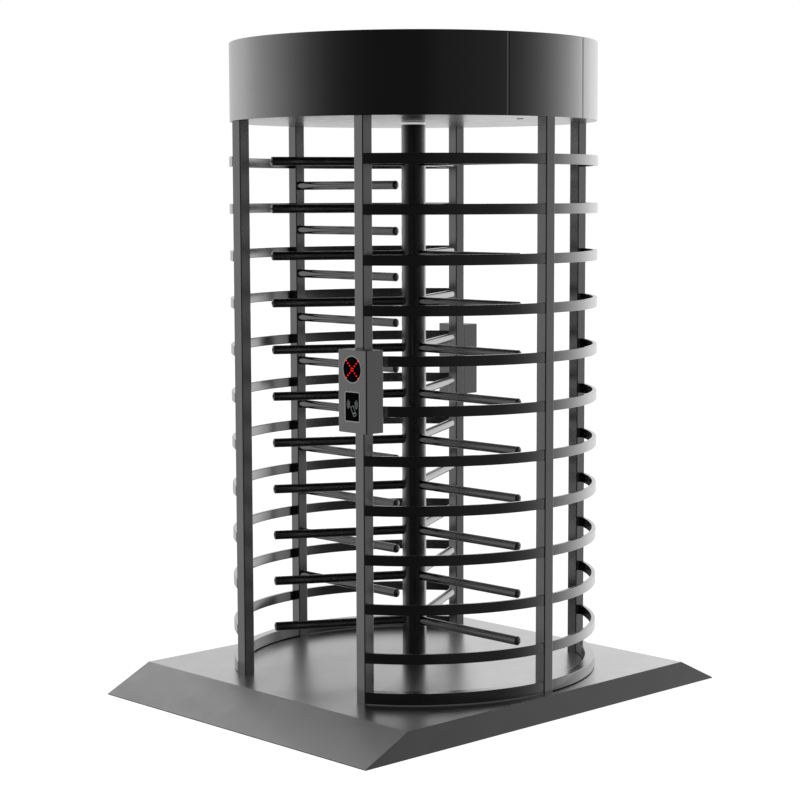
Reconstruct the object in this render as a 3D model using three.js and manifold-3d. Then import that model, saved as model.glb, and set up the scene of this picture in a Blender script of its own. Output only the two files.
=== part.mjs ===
// Full height turnstile: a ramped base, two curved cages, a three-wing rotor, a comb and a round canopy.
// Units are millimetres. +Z is up, the origin is the centre of the base's footprint on the floor.
// The entry is on the -Y side and the exit on the +Y side. The service door faces +X.
import * as THREE from "three";
import { mergeVertices } from "three/addons/utils/BufferGeometryUtils.js";
import Module from "manifold-3d";

const wasm = await Module();
wasm.setup();

// Fits
const weldGap = 0.3;
const runningGap = 0.5;
const cutOverrun = 20;
const mergeTolerance = 0.0001;

// Base platform
const baseWidth = 1468;
const deckLength = 1488;
const rampRun = 198;
const baseHeight = 98;
const baseSheet = 5;
const rampLip = 4;
const stiffenerThickness = 6;
const stiffenerFootWidth = 50;

// Posts and cages
const postWidth = 46;
const postWall = 3;
const sidePostProud = 3;
const startPostAngle = -58.8;
const endPostAngle = 61.4;
const railOverrunAngle = 1;
const railOuterRadius = 703.5;
const railThickness = 16;
const railHeight = 38;
const topRailDrop = 150;
const lowRailLift = 170;
const railCount = 11;
const kickRailHeight = 45;
const kickRailThickness = 40;

// Rotor
const columnRadius = 46.5;
const columnWall = 4;
const columnHeadThickness = 8;
const armRadius = 17;
const armReach = 551;
const capHeight = 5;
const capRimHeight = 1.5;
const capRimRadius = 16;
const capNoseRadius = 9;
const wingCount = 3;
const lockStepsPerWing = 2;
const shaftRadius = 28;
const shaftBoreRadius = 12;
const shaftLength = 88;

// Comb
const combReach = 99.5;

// Bearings
const footFlangeRadius = 54;
const footFlangeThickness = 4;
const footSpigotHeight = 46;
const footSpigotWall = 7;
const washerThickness = 11;
const bearingFlangeRadius = 80;
const bearingFlangeThickness = 8;

// Canopy
const canopyRadius = 700;
const canopyBottom = 2198;
const canopyHeight = 294.5;
const canopySheet = 3;
const deckSheet = 5;

// Service door and its lock
const doorStartAngle = -15.6;
const doorEndAngle = 17.5;
const doorSeam = 1.2;
const doorBarrelRadius = 4;
const doorPinRadius = 2.5;
const doorPinLength = 2.4;
const lockX = 489;
const lockY = 71.5;
const lockRadius = 9.5;
const lockFlangeRadius = 12.5;
const lockFlangeThickness = 2;
const lockHeight = 22;
const keySlotLength = 9;
const keySlotWidth = 2;
const keySlotDepth = 5;
const tongueLength = 34;
const tongueWidth = 14;
const tongueThickness = 3;
const catchWidth = 24;
const catchThickness = 4;
const catchTabWidth = 12;
const catchTongueGap = 1.5;
const catchFootDepth = 20;
const catchFootHeight = 16;

// Locking and damping gear
const gearTeeth = 40;
const pinionTeeth = 10;
const gearModule = 6;
const toothRootShare = 1.25;
const toothBaseWidthShare = 0.33;
const toothTipWidthShare = 0.13;
const gearThickness = 12;
const gearLift = 21;
const hubRadius = 44;
const lockDiscRadius = 90;
const lockDiscThickness = 12;
const lockDiscLift = 41;
const boltWidth = 12;
const boltLength = 110;
const boltSpacing = 56;
const boltTravel = 14;
const boltTipGap = 5;
const lockUnitLength = 100;
const lockUnitWidth = 110;
const lockUnitHeight = 72;
const lockUnitGap = 8;
const gearBacklash = 0.5;
const damperRadius = 34;
const damperHeight = 17;
const damperWellFloor = 4;
const damperShaftRadius = 8;
const controlBoxX = 270;
const controlBoxY = 250;
const controlBoxWidth = 180;
const controlBoxDepth = 120;
const controlBoxHeight = 60;

// Readers
const readerWidth = 146;
const readerDepth = 82;
const readerHeight = 291;
const readerBottom = 1090.5;
const readerOffset = 53;
const readerWall = 2.5;
const displayRadius = 45;
const displayDrop = 67.6;
const cardWidth = 71;
const cardHeight = 100.5;
const cardDrop = 198.7;
const cardCorner = 5;
const windowGap = 0.4;
const boardThickness = 2;
const boardMargin = 4;

// Smoothness of round shapes
const railSteps = 18;
const tubeSides = 10;
const columnSides = 20;
const canopySides = 64;
const boreSides = 20;
const doorwaySteps = 8;
const cornerSteps = 4;

// Worked out from the sizes above
const deckTop = baseHeight;
const postBottom = deckTop + weldGap;
const canopyTop = canopyBottom + canopyHeight;
const deckBottom = canopyBottom;
const canopyFloor = deckBottom + deckSheet;
const postTop = deckBottom - weldGap;
const columnBottom = deckTop + weldGap + footFlangeThickness + weldGap;
const columnTop = deckBottom - weldGap - washerThickness - weldGap;
const topRailLevel = deckBottom - topRailDrop;
const lowRailLevel = deckTop + lowRailLift;
const railPitch = (topRailLevel - lowRailLevel) / (railCount - 1);
const combTopLevel = topRailLevel - railPitch / 2;
const gearPitchRadius = (gearTeeth * gearModule) / 2;
const pinionPitchRadius = (pinionTeeth * gearModule) / 2;
const toothTip = gearModule;
const toothRoot = gearModule * toothRootShare;
const postHalf = postWidth / 2;
const sidePostRadius = railOuterRadius + sidePostProud - postHalf;
const radians = (degrees) => (degrees * Math.PI) / 180;
const degrees = (turn) => (turn * 180) / Math.PI;
const railLevels = Array.from({ length: railCount }, (_, i) => topRailLevel - i * railPitch);
const kickRailLevel = deckTop + weldGap + kickRailHeight / 2;
const wingAngles = Array.from({ length: wingCount }, (_, i) => (360 * i) / wingCount);
const lockAngles = Array.from(
  { length: wingCount * lockStepsPerWing },
  (_, i) => (360 * i) / (wingCount * lockStepsPerWing),
);
const boltRows = [-boltSpacing / 2, boltSpacing / 2];
const boltInnerEdge = boltSpacing / 2 - boltWidth / 2;
const boltTip = -Math.sqrt(lockDiscRadius ** 2 - boltInnerEdge ** 2) - boltTipGap;
const boltNotchFloor = boltTip + boltTravel + boltTipGap;
const boltBottom = canopyFloor + lockDiscLift + (lockDiscThickness - boltWidth) / 2;
const barrelRadius = canopyRadius - doorBarrelRadius;
const seamTurn = degrees(doorSeam / canopyRadius);
const barrelTurn = degrees((doorBarrelRadius + doorSeam) / canopyRadius);
const barrelX = barrelRadius * Math.cos(radians(doorStartAngle + barrelTurn));
const barrelY = barrelRadius * Math.sin(radians(doorStartAngle + barrelTurn));
const doorBottom = canopyBottom;
const doorTop = canopyTop - canopySheet - weldGap;
const lockTop = deckBottom + lockHeight;

// Materials
const finish = (color, roughness, metalness) =>
  new THREE.MeshStandardMaterial({ color, roughness, metalness });
const frameCoat = () => finish(0x4a4b4d, 0.45, 0.4);
const rotorCoat = () => finish(0x3c3d3f, 0.4, 0.45);
const canopyCoat = () => finish(0x2b2c2e, 0.35, 0.5);
const deckCoat = () => finish(0x9b9c9e, 0.3, 0.6);
const brightSteel = () => finish(0xc4c6c8, 0.3, 0.9);
const zincSteel = () => finish(0x9aa0a4, 0.4, 0.85);
const blackGlass = () => finish(0x0c0d0f, 0.1, 0.1);
const casePlastic = () => finish(0x8e9499, 0.55, 0.1);

// A closed geometry as a solid, with its faces turned outwards.
function solid(geometry) {
  const bare = geometry.clone();
  bare.deleteAttribute("normal");
  bare.deleteAttribute("uv");
  const merged = mergeVertices(bare, mergeTolerance);
  const vertices = merged.attributes.position.array;
  const triangles = new Uint32Array(merged.index.array);
  const build = () =>
    new wasm.Manifold(
      new wasm.Mesh({ numProp: 3, vertProperties: vertices, triVerts: triangles }),
    );
  const made = build();
  if (made.volume() > 0) return made;
  for (let i = 0; i < triangles.length; i += 3) {
    [triangles[i + 1], triangles[i + 2]] = [triangles[i + 2], triangles[i + 1]];
  }
  return build();
}

function geometryOf(body) {
  const mesh = body.getMesh();
  const geometry = new THREE.BufferGeometry();
  geometry.setAttribute("position", new THREE.BufferAttribute(mesh.vertProperties, 3));
  geometry.setIndex(new THREE.BufferAttribute(mesh.triVerts, 1));
  geometry.computeVertexNormals();
  return geometry;
}

const joined = (bodies) => bodies.reduce((sum, body) => sum.add(body));
const cut = (body, tools) => tools.reduce((left, tool) => left.subtract(tool), body);

function part(name, body, material) {
  const mesh = new THREE.Mesh(geometryOf(body), material);
  mesh.name = name;
  return mesh;
}

// A box given by its low and high corners.
function block(low, high) {
  const size = high.map((value, i) => value - low[i]);
  const middle = high.map((value, i) => (value + low[i]) / 2);
  return solid(new THREE.BoxGeometry(...size).translate(...middle));
}

// An upright cylinder.
function drum(radius, bottom, top, sides, x = 0, y = 0) {
  const geometry = new THREE.CylinderGeometry(radius, radius, top - bottom, sides);
  geometry.rotateX(Math.PI / 2).translate(x, y, (bottom + top) / 2);
  return solid(geometry);
}

// A solid of revolution about Z from a profile of radius and height pairs.
function turned(profile, sides) {
  const points = profile.map(([radius, height]) => new THREE.Vector2(radius, height));
  return solid(new THREE.LatheGeometry(points, sides).rotateX(Math.PI / 2));
}

// A flat outline raised from a bottom height to a top height.
function raised(outline, bottom, top) {
  const shape = new THREE.Shape(outline.map(([x, y]) => new THREE.Vector2(x, y)));
  const geometry = new THREE.ExtrudeGeometry(shape, { depth: top - bottom, bevelEnabled: false });
  return solid(geometry.translate(0, 0, bottom));
}

// The outline of a curved band between two radii and two angles in degrees.
function bandOutline(inner, outer, start, end, steps) {
  const angles = Array.from({ length: steps + 1 }, (_, i) => start + ((end - start) * i) / steps);
  const at = (radius, angle) => [
    radius * Math.cos(radians(angle)),
    radius * Math.sin(radians(angle)),
  ];
  const far = angles.map((angle) => at(outer, angle));
  const near = angles.reverse().map((angle) => at(inner, angle));
  return far.concat(near);
}

// The radius whose flats clear a round piece by a gap.
const clearing = (radius, gap, sides) => (radius + gap) / Math.cos(Math.PI / sides);

// Base platform: a folded tray with a ramp on the entry side and one on the exit side
function basePlatform() {
  const halfX = baseWidth / 2;
  const halfDeck = deckLength / 2;
  const halfLength = halfDeck + rampRun;
  const bend = Math.atan2(baseHeight - rampLip, rampRun);
  const shoulder = halfDeck - baseSheet * Math.tan(bend / 2);
  const ceiling = baseHeight - baseSheet;
  const reach = shoulder + ceiling / Math.tan(bend);
  const outside = [
    [-halfLength, 0],
    [halfLength, 0],
    [halfLength, rampLip],
    [halfDeck, baseHeight],
    [-halfDeck, baseHeight],
    [-halfLength, rampLip],
  ];
  const inside = [
    [-reach, -baseSheet],
    [reach, -baseSheet],
    [reach, 0],
    [shoulder, ceiling],
    [-shoulder, ceiling],
    [-reach, 0],
  ];
  const along = (outline, half) => raised(outline, -half, half).rotate([90, 0, 90]);
  const tray = along(outside, halfX).subtract(along(inside, halfX - baseSheet));
  const stiffener = (x, width, top) =>
    block([x - width / 2, -halfDeck, 0], [x + width / 2, halfDeck, top]);
  const stiffeners = [-halfX / 2, 0, halfX / 2].flatMap((x) => [
    stiffener(x, stiffenerThickness, ceiling + baseSheet / 2),
    stiffener(x, stiffenerFootWidth, baseSheet),
  ]);
  return part("base_platform", joined([tray, ...stiffeners]), frameCoat());
}

// The centre of an end post, whose outer corner lies on the rails' outer circle
function endPostCentre(angle) {
  const x = railOuterRadius * Math.cos(radians(angle));
  const y = railOuterRadius * Math.sin(radians(angle));
  return [x - postHalf, y - Math.sign(y) * postHalf];
}

function postTube([x, y]) {
  const outside = block(
    [x - postHalf, y - postHalf, postBottom],
    [x + postHalf, y + postHalf, postTop],
  );
  const bore = postHalf - postWall;
  const inside = block(
    [x - bore, y - bore, postBottom - cutOverrun],
    [x + bore, y + bore, postTop + cutOverrun],
  );
  return outside.subtract(inside);
}

// The curved band that a rail fills, or with a gap the slot that a rail runs through
const railBand = (thickness, bottom, top, gap) =>
  raised(
    bandOutline(
      railOuterRadius - thickness - gap,
      railOuterRadius + gap,
      startPostAngle - railOverrunAngle,
      endPostAngle + railOverrunAngle,
      railSteps,
    ),
    bottom - gap,
    top + gap,
  );

// One curved rail of the +X cage, cut off square at the faces of its two end posts
function railSolid(thickness, height) {
  const spread = (low, high) => [Math.min(low, high), Math.max(low, high)];
  const trims = [endPostCentre(startPostAngle), endPostCentre(endPostAngle)].flatMap(([x, y]) => {
    const side = Math.sign(y);
    const faceX = x + postHalf + weldGap;
    const faceY = y + side * postHalf;
    const [insideLow, insideHigh] = spread(y - side * postWidth, y + side * postWidth);
    const [flushLow, flushHigh] = spread(faceY, faceY + side * postWidth);
    return [
      block([x - postWidth, insideLow, -height], [faceX, insideHigh, height]),
      block([x - postWidth, flushLow, -height], [x + postWidth, flushHigh, height]),
    ];
  });
  return cut(railBand(thickness, -height / 2, height / 2, 0), trims);
}

// The slots that the rails run through in the side post
function railSlots() {
  const half = railHeight / 2;
  const slots = railLevels.map((level) => railBand(railThickness, level - half, level + half, weldGap));
  const kickRailTop = kickRailLevel + kickRailHeight / 2;
  return slots.concat([railBand(kickRailThickness, deckTop, kickRailTop, weldGap)]);
}

// A round bar with a domed end cap, from the origin along +X
function cappedBar(from, to) {
  const profile = [
    [0, from],
    [armRadius, from],
    [armRadius, to],
    [capRimRadius, to],
    [capRimRadius, to + capRimHeight],
    [capNoseRadius, to + capHeight],
    [0, to + capHeight],
  ];
  return turned(profile, tubeSides).rotate([0, 90, 0]);
}

// Comb bars, which start on the side post's inner face and point at the column
function combBars() {
  const root = sidePostRadius - postHalf + postWall / 2;
  const bar = cappedBar(0, root - combReach).rotate([0, 0, 180]);
  return Array.from({ length: railCount - 1 }, (_, i) =>
    bar.translate([root, 0, combTopLevel - i * railPitch]),
  );
}

function roundedRectangle(width, height, corner) {
  const shape = new THREE.Shape();
  const x = width / 2;
  const z = height / 2;
  shape.moveTo(x, corner - z);
  shape.lineTo(x, z - corner);
  shape.absarc(x - corner, z - corner, corner, 0, Math.PI / 2);
  shape.lineTo(corner - x, z);
  shape.absarc(corner - x, z - corner, corner, Math.PI / 2, Math.PI);
  shape.lineTo(-x, corner - z);
  shape.absarc(corner - x, corner - z, corner, Math.PI, 1.5 * Math.PI);
  shape.lineTo(x - corner, -z);
  shape.absarc(x - corner, corner - z, corner, 1.5 * Math.PI, 2 * Math.PI);
  return shape;
}

// Window plates of the reader: a round display and a card panel, both facing -Y
function windowPlates(front, back, grow) {
  const top = readerBottom + readerHeight;
  const disc = new THREE.CylinderGeometry(
    displayRadius + grow,
    displayRadius + grow,
    back - front,
    boreSides,
  );
  disc.translate(0, (front + back) / 2, top - displayDrop);
  const panel = new THREE.ExtrudeGeometry(
    roundedRectangle(cardWidth + 2 * grow, cardHeight + 2 * grow, cardCorner),
    { depth: back - front, bevelEnabled: false, curveSegments: cornerSteps },
  );
  panel.rotateX(Math.PI / 2).translate(0, back, top - cardDrop);
  return [solid(disc), solid(panel)];
}

// The reader sits on an end post's outer face: its casing, and the board that carries both windows
function reader(name, [x, y]) {
  const back = readerDepth / 2;
  const front = -back;
  const halfX = readerWidth / 2;
  const top = readerBottom + readerHeight;
  const casing = block([-halfX, front, readerBottom], [halfX, back, top]);
  const pocket = block(
    [readerWall - halfX, front + readerWall, readerBottom + readerWall],
    [halfX - readerWall, back - readerWall, top - readerWall],
  );
  const cutouts = windowPlates(front - cutOverrun, front + 2 * readerWall, windowGap);
  const boardFront = front + readerWall + weldGap;
  const board = block(
    [boardMargin + readerWall - halfX, boardFront, readerBottom + readerWall + boardMargin],
    [halfX - readerWall - boardMargin, boardFront + boardThickness, top - readerWall - boardMargin],
  );
  const plates = windowPlates(front, boardFront + boardThickness, 0);
  const group = new THREE.Group();
  const shell = cut(casing, [pocket, ...cutouts]);
  group.add(part(`reader_casing_${name}`, shell, casePlastic()));
  group.add(part(`reader_module_${name}`, joined([board, ...plates]), blackGlass()));
  group.position.set(x + readerOffset, y - postHalf - weldGap - readerDepth / 2, 0);
  return group;
}

// One half of the cage, drawn on the +X side: two end posts, a side post, rails and a reader
function cage(side, names) {
  const group = new THREE.Group();
  const start = endPostCentre(startPostAngle);
  const end = endPostCentre(endPostAngle);
  const sidePost = cut(postTube([sidePostRadius, 0]), railSlots());
  const withComb = side === "left" ? joined([sidePost, ...combBars()]) : sidePost;
  group.add(part(names.start, postTube(start), frameCoat()));
  group.add(part(names.end, postTube(end), frameCoat()));
  group.add(part(names.side, withComb, frameCoat()));
  const rail = railSolid(railThickness, railHeight);
  railLevels.forEach((level, i) => {
    const mesh = part(`rail_${side}_${String(i + 1).padStart(2, "0")}`, rail, frameCoat());
    mesh.position.z = level;
    group.add(mesh);
  });
  const kickRailBody = railSolid(kickRailThickness, kickRailHeight);
  const kickRail = part(`kick_rail_${side}`, kickRailBody, frameCoat());
  kickRail.position.z = kickRailLevel;
  group.add(kickRail);
  group.add(reader(names.reader, start));
  return group;
}

// Rotor column: a tube with a hole for each arm, a closed head and a shaft into the canopy
function rotorColumn(starts) {
  const bore = columnRadius - columnWall;
  const shaftTop = columnTop + shaftLength;
  const profile = [
    [bore, columnBottom],
    [columnRadius, columnBottom],
    [columnRadius, columnTop],
    [shaftRadius, columnTop],
    [shaftRadius, shaftTop],
    [shaftBoreRadius, shaftTop],
    [shaftBoreRadius, columnTop - columnHeadThickness],
    [bore, columnTop - columnHeadThickness],
    [bore, columnBottom],
  ];
  const hole = turned(
    [
      [0, 0],
      [armRadius + weldGap, 0],
      [armRadius + weldGap, 2 * columnRadius],
      [0, 2 * columnRadius],
    ],
    tubeSides,
  ).rotate([0, 90, 0]);
  const holes = starts.flatMap((level) =>
    wingAngles.map((angle) => hole.rotate([0, 0, angle]).translate([0, 0, level])),
  );
  return part("rotor_column", cut(turned(profile, columnSides), holes), rotorCoat());
}

function armStar() {
  const arm = cappedBar(0, armReach);
  return joined(wingAngles.map((angle) => arm.rotate([0, 0, angle])));
}

// A toothed outline whose teeth are straight-sided and narrowed by the backlash
function gearOutline(teeth, phase) {
  const pitch = (teeth * gearModule) / 2;
  const step = 360 / teeth;
  const slack = degrees(gearBacklash / pitch);
  const corners = [
    [-toothBaseWidthShare, pitch - toothRoot],
    [-toothTipWidthShare, pitch + toothTip],
    [toothTipWidthShare, pitch + toothTip],
    [toothBaseWidthShare, pitch - toothRoot],
  ];
  return Array.from({ length: teeth }, (_, i) => i).flatMap((i) =>
    corners.map(([share, radius]) => {
      const angle = radians(phase + i * step + share * step - (Math.sign(share) * slack) / 2);
      return [radius * Math.cos(angle), radius * Math.sin(angle)];
    }),
  );
}

// Index wheel: gear rim below, notched locking disc above, one hub on the shaft
function indexWheel() {
  const gearBottom = canopyFloor + gearLift;
  const discBottom = canopyFloor + lockDiscLift;
  const top = discBottom + lockDiscThickness;
  const gear = raised(gearOutline(gearTeeth, 0), gearBottom, gearBottom + gearThickness);
  const hub = drum(hubRadius, gearBottom, top, boreSides);
  const disc = drum(lockDiscRadius, discBottom, top, 2 * boreSides);
  const bore = drum(shaftRadius + weldGap, gearBottom - cutOverrun, top + cutOverrun, columnSides);
  const notchHalf = boltWidth / 2 + runningGap;
  const notch = (y) =>
    block(
      [-lockDiscRadius - cutOverrun, y - notchHalf, discBottom - weldGap],
      [boltNotchFloor, y + notchHalf, top + cutOverrun],
    );
  const notches = lockAngles.flatMap((angle) =>
    boltRows.map((y) => notch(y).rotate([0, 0, angle])),
  );
  return part("index_wheel", cut(joined([gear, hub, disc]), [...notches, bore]), zincSteel());
}

function lockBolt(name, y) {
  const half = boltWidth / 2;
  const body = block(
    [boltTip - boltLength, y - half, boltBottom],
    [boltTip, y + half, boltBottom + boltWidth],
  );
  return part(name, body, brightSteel());
}

// Lock unit: the case on the canopy floor that guides both bolts
function lockUnit() {
  const front = -(gearPitchRadius + toothTip + lockUnitGap);
  const half = lockUnitWidth / 2;
  const body = block(
    [front - lockUnitLength, -half, canopyFloor + weldGap],
    [front, half, canopyFloor + weldGap + lockUnitHeight],
  );
  const channelHalf = boltWidth / 2 + weldGap;
  const channels = boltRows.map((y) =>
    block(
      [front - lockUnitLength - cutOverrun, y - channelHalf, boltBottom - weldGap],
      [front + cutOverrun, y + channelHalf, boltBottom + boltWidth + weldGap],
    ),
  );
  return part("lock_unit", cut(body, channels), zincSteel());
}

// Rotary damper: its round body under a pinion that meshes with the index wheel
function damper() {
  const group = new THREE.Group();
  const floor = canopyFloor + weldGap;
  const bodyTop = floor + damperHeight;
  const gearBottom = canopyFloor + gearLift;
  const well = floor + damperWellFloor;
  const body = drum(damperRadius, floor, bodyTop, boreSides).subtract(
    drum(clearing(damperShaftRadius, runningGap, boreSides), well, bodyTop + cutOverrun, boreSides),
  );
  const pinion = joined([
    raised(gearOutline(pinionTeeth, 180 / pinionTeeth - 90), gearBottom, gearBottom + gearThickness),
    drum(damperShaftRadius, well + weldGap, gearBottom + gearThickness, boreSides),
  ]);
  group.add(part("damper_body", body, zincSteel()));
  group.add(part("damper_pinion", pinion, brightSteel()));
  group.position.y = gearPitchRadius + pinionPitchRadius;
  return group;
}

// Top bearing: a washer under the canopy floor, a sleeve through it and a flange on top
function topBearing() {
  const bore = clearing(shaftRadius, runningGap, columnSides);
  const holeRadius = columnRadius - weldGap;
  const flangeBottom = canopyFloor + weldGap;
  const flangeTop = flangeBottom + bearingFlangeThickness;
  const lipTop = deckBottom - weldGap;
  const lipBottom = lipTop - washerThickness;
  const profile = [
    [bore, lipBottom],
    [columnRadius, lipBottom],
    [columnRadius, lipTop],
    [holeRadius - weldGap, lipTop],
    [holeRadius - weldGap, flangeBottom],
    [bearingFlangeRadius, flangeBottom],
    [bearingFlangeRadius, flangeTop],
    [bore, flangeTop],
    [bore, lipBottom],
  ];
  return part("top_bearing", turned(profile, columnSides), brightSteel());
}

// Foot bearing: a flange on the base with a spigot inside the column
function footBearing() {
  const bottom = deckTop + weldGap;
  const outer = columnRadius - columnWall - runningGap;
  const spigot = outer * Math.cos(Math.PI / columnSides);
  const top = bottom + footFlangeThickness;
  const profile = [
    [spigot - footSpigotWall, bottom],
    [footFlangeRadius, bottom],
    [footFlangeRadius, top],
    [spigot, top],
    [spigot, top + footSpigotHeight],
    [spigot - footSpigotWall, top + footSpigotHeight],
    [spigot - footSpigotWall, bottom],
  ];
  return part("foot_bearing", turned(profile, columnSides), zincSteel());
}

// Canopy shell: the round skin and its flat roof, with an opening for the service door
function canopyShell() {
  const inner = canopyRadius - canopySheet;
  const roof = canopyTop - canopySheet;
  const profile = [
    [0, roof],
    [inner, roof],
    [inner, canopyBottom],
    [canopyRadius, canopyBottom],
    [canopyRadius, canopyTop],
    [0, canopyTop],
  ];
  const doorway = bandOutline(
    inner - cutOverrun,
    canopyRadius + cutOverrun,
    doorStartAngle,
    doorEndAngle,
    doorwaySteps,
  );
  const opening = raised(doorway, canopyBottom - cutOverrun, roof);
  const pinHole = drum(
    doorPinRadius + weldGap,
    roof - cutOverrun,
    doorTop + doorPinLength + weldGap,
    tubeSides,
    barrelX,
    barrelY,
  );
  return part("canopy_shell", cut(turned(profile, canopySides), [opening, pinHole]), canopyCoat());
}

// Canopy floor: the bright plate under the canopy that the posts hold up
function canopyDeck() {
  const radius = canopyRadius - canopySheet - weldGap;
  const plate = drum(radius, deckBottom, canopyFloor, canopySides);
  const bearingHole = drum(
    columnRadius - weldGap,
    deckBottom - cutOverrun,
    canopyFloor + cutOverrun,
    columnSides,
  );
  const lockHole = drum(
    lockRadius + weldGap,
    deckBottom - cutOverrun,
    canopyFloor + cutOverrun,
    boreSides,
    lockX,
    lockY,
  );
  const barrelHole = drum(
    clearing(doorBarrelRadius, runningGap, tubeSides),
    deckBottom - cutOverrun,
    canopyFloor + cutOverrun,
    tubeSides,
    barrelX,
    barrelY,
  );
  const rimCut = raised(
    bandOutline(
      radius - doorSeam,
      canopyRadius + cutOverrun,
      doorStartAngle - seamTurn,
      doorEndAngle + seamTurn,
      doorwaySteps,
    ),
    deckBottom - cutOverrun,
    canopyFloor + cutOverrun,
  );
  return part("canopy_deck", cut(plate, [bearingHole, lockHole, barrelHole, rimCut]), deckCoat());
}

// Service door: a curved panel with a hinge barrel, end pins and a catch bar for the lock
function serviceDoor() {
  const inner = canopyRadius - canopySheet;
  const panel = raised(
    bandOutline(
      inner,
      canopyRadius,
      doorStartAngle + barrelTurn,
      doorEndAngle - seamTurn,
      doorwaySteps,
    ),
    doorBottom,
    doorTop,
  );
  const barrel = drum(doorBarrelRadius, doorBottom, doorTop, tubeSides, barrelX, barrelY);
  const pin = drum(
    doorPinRadius,
    doorTop - doorPinLength,
    doorTop + doorPinLength,
    tubeSides,
    barrelX,
    barrelY,
  );
  const halfBar = catchWidth / 2;
  const halfTab = catchTabWidth / 2;
  const barBottom = lockTop + runningGap;
  const barTop = barBottom + catchThickness;
  const tabFace = lockX - Math.hypot(tongueLength, tongueWidth / 2) - catchTongueGap;
  const footStart = inner - catchFootDepth;
  const bar = block(
    [tabFace - catchThickness, lockY - halfBar, barBottom],
    [footStart + catchThickness, lockY + halfBar, barTop],
  );
  const tab = block(
    [tabFace - catchThickness, lockY - halfTab, canopyFloor + runningGap],
    [tabFace, lockY + halfTab, barTop],
  );
  const foot = block(
    [footStart, lockY - halfBar, barBottom],
    [canopyRadius, lockY + halfBar, barBottom + catchFootHeight],
  ).intersect(drum(canopyRadius - canopySheet / 2, doorBottom, doorTop, canopySides));
  return part("service_door", joined([panel, barrel, pin, bar, foot, tab]), canopyCoat());
}

// Door lock: a cam lock in the canopy floor, with its key slot facing down and a tongue above
function doorLock() {
  const flangeTop = deckBottom - weldGap;
  const flange = drum(lockFlangeRadius, flangeTop - lockFlangeThickness, flangeTop, boreSides);
  const barrel = drum(lockRadius, flangeTop - lockFlangeThickness, lockTop, boreSides);
  const slot = block(
    [-keySlotLength / 2, -keySlotWidth / 2, flangeTop - lockFlangeThickness - cutOverrun],
    [keySlotLength / 2, keySlotWidth / 2, flangeTop - lockFlangeThickness + keySlotDepth],
  );
  const tongue = block(
    [-tongueWidth / 2, -tongueLength, lockTop - tongueThickness],
    [tongueWidth / 2, 0, lockTop],
  );
  const mesh = part("door_lock", cut(joined([flange, barrel, tongue]), [slot]), brightSteel());
  mesh.position.set(lockX, lockY, 0);
  return mesh;
}

function controlBox() {
  const floor = canopyFloor + weldGap;
  const body = block(
    [-controlBoxWidth / 2, -controlBoxDepth / 2, floor],
    [controlBoxWidth / 2, controlBoxDepth / 2, floor + controlBoxHeight],
  );
  const mesh = part("control_box", body, casePlastic());
  mesh.position.set(controlBoxX, controlBoxY, 0);
  return mesh;
}

// Assembly
const turnstile = new THREE.Group();
turnstile.add(basePlatform());
turnstile.add(
  cage("right", {
    start: "post_entry_right",
    end: "post_exit_right",
    side: "post_side_right",
    reader: "entry",
  }),
);
const leftCage = cage("left", {
  start: "post_exit_left",
  end: "post_entry_left",
  side: "comb_post",
  reader: "exit",
});
leftCage.rotation.z = Math.PI;
turnstile.add(leftCage);

const rotor = new THREE.Group();
rotor.add(rotorColumn(railLevels));
const star = armStar();
railLevels.forEach((level, i) => {
  const mesh = part(`arm_star_${String(i + 1).padStart(2, "0")}`, star, rotorCoat());
  mesh.position.z = level;
  rotor.add(mesh);
});
rotor.add(indexWheel());
turnstile.add(rotor);

const canopy = new THREE.Group();
canopy.add(canopyShell(), canopyDeck(), serviceDoor(), doorLock());
canopy.add(topBearing(), lockUnit(), damper(), controlBox());
canopy.add(lockBolt("lock_bolt_entry", boltRows[0]), lockBolt("lock_bolt_exit", boltRows[1]));
turnstile.add(canopy);
turnstile.add(footBearing());

export default turnstile;
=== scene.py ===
"""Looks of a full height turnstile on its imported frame.

Lengths are in millimetres until they reach Blender. +Z is up, the entry is on the -Y side and
the service door faces +X. The left cage is the right one turned half round.
"""

import math

import bmesh
import bpy
from mathutils import Matrix, Vector


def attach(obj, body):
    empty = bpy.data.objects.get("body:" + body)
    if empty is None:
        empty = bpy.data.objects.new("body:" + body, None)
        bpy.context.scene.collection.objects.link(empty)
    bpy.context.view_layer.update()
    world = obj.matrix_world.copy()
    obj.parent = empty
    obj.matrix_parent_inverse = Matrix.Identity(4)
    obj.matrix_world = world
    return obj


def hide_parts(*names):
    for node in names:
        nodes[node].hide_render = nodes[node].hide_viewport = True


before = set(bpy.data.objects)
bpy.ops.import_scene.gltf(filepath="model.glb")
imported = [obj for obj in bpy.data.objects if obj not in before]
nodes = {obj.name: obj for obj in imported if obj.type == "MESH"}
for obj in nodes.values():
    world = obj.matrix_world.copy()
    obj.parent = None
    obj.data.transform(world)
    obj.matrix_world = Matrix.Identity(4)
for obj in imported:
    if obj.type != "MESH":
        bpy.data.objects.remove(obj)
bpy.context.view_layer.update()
MM = 0.001

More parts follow.
